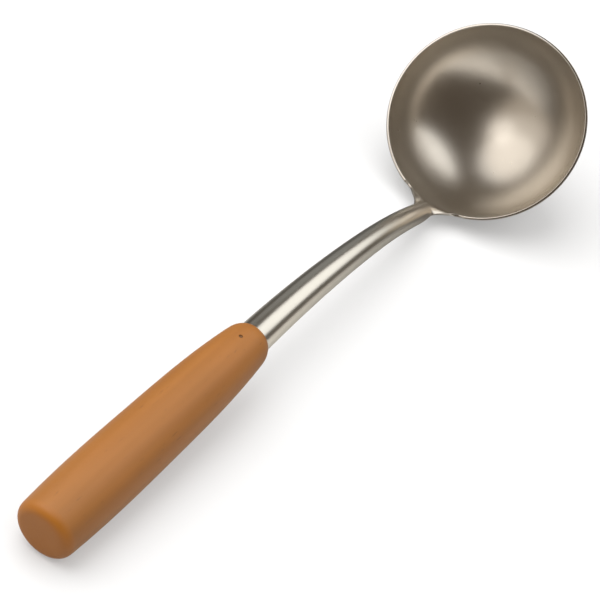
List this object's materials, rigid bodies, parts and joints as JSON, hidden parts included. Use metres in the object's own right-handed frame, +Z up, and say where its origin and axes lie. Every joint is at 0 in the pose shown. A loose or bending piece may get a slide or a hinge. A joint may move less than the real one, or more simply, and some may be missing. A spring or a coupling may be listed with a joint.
{
  "type": "soup ladle",
  "caption": "Round steel ladle bowl pressed in one piece with a rolled tube shank, pinned into a turned wooden handle.",
  "frame": {"origin": "on the table, under the middle of the lying ladle's bounding box", "axes": "+X from the handle towards the bowl, +Y across the ladle, +Z up; the ladle is symmetric about Y = 0"},
  "size_m": [0.4202, 0.11, 0.0849],
  "materials": {
    "steel": "satin-polished stainless sheet",
    "beech": "oiled orange-tan beech, fine grain",
    "pin_steel": "dull steel wire, set just under the wood"
  },
  "bodies": {
    "root": {"bowl_and_shank": "steel", "handle": "beech", "handle_pin": "pin_steel"}
  },
  "joints": []
}
